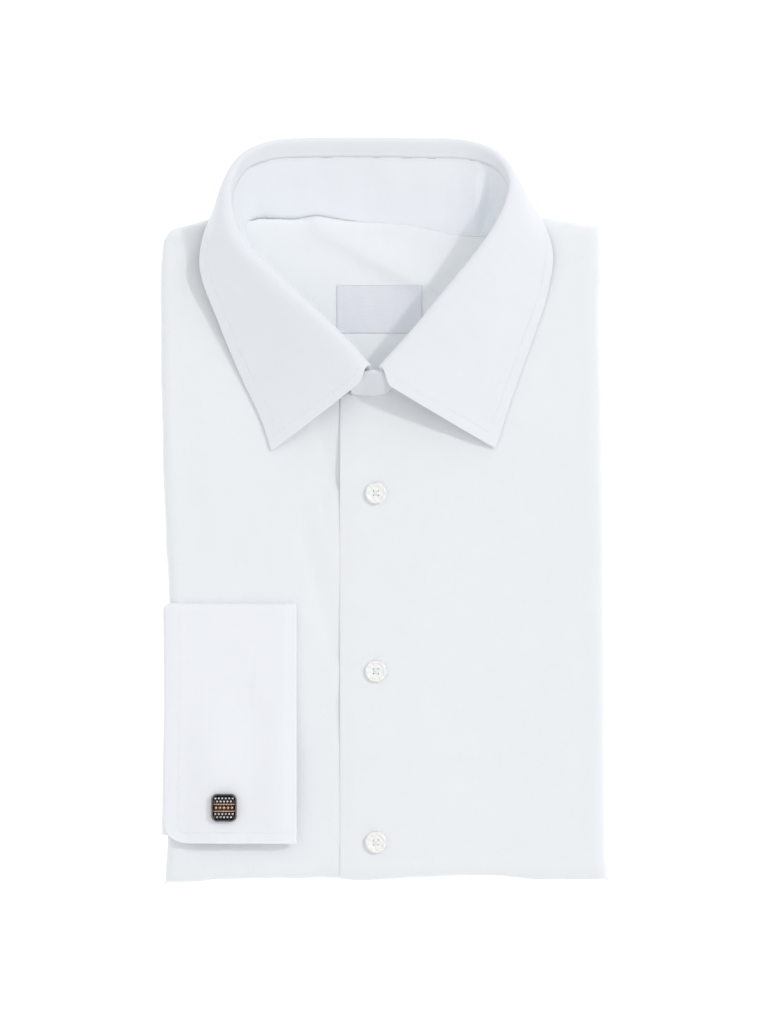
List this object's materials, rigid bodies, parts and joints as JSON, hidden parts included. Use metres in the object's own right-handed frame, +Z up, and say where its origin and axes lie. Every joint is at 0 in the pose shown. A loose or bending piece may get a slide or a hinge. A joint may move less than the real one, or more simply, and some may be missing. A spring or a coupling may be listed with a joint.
{
  "type": "folded dress shirt",
  "caption": "White long sleeve dress shirt folded flat for display, classic point collar standing open, one French cuff with its cufflink laid over the front.",
  "frame": {"origin": "middle of the folded shirt's outline, on the surface that it lies on", "axes": "+Y runs from the bottom fold to the collar, +X to the wearer's left, +Z up from the surface"},
  "size_m": [0.2451, 0.4106, 0.0496],
  "materials": {
    "cotton": "fine white cotton poplin, matte",
    "collar_cotton": "the same cotton, fused and pressed flat",
    "label_satin": "woven satin label with no lettering",
    "pearl": "glossy mother-of-pearl",
    "silver": "oxidised silver, with one rose gold row on the face"
  },
  "bodies": {
    "root": {"folded_body": "cotton", "right_front": "cotton", "left_front": "cotton", "back_yoke": "cotton", "neck_label": "label_satin", "neckband": "collar_cotton", "collar_leaf": "collar_cotton", "right_sleeve": "cotton", "right_cuff": "collar_cotton", "button_1": "pearl", "button_2": "pearl", "button_3": "pearl", "link_face": "silver", "link_post": "silver", "link_toggle": "silver"}
  },
  "joints": []
}
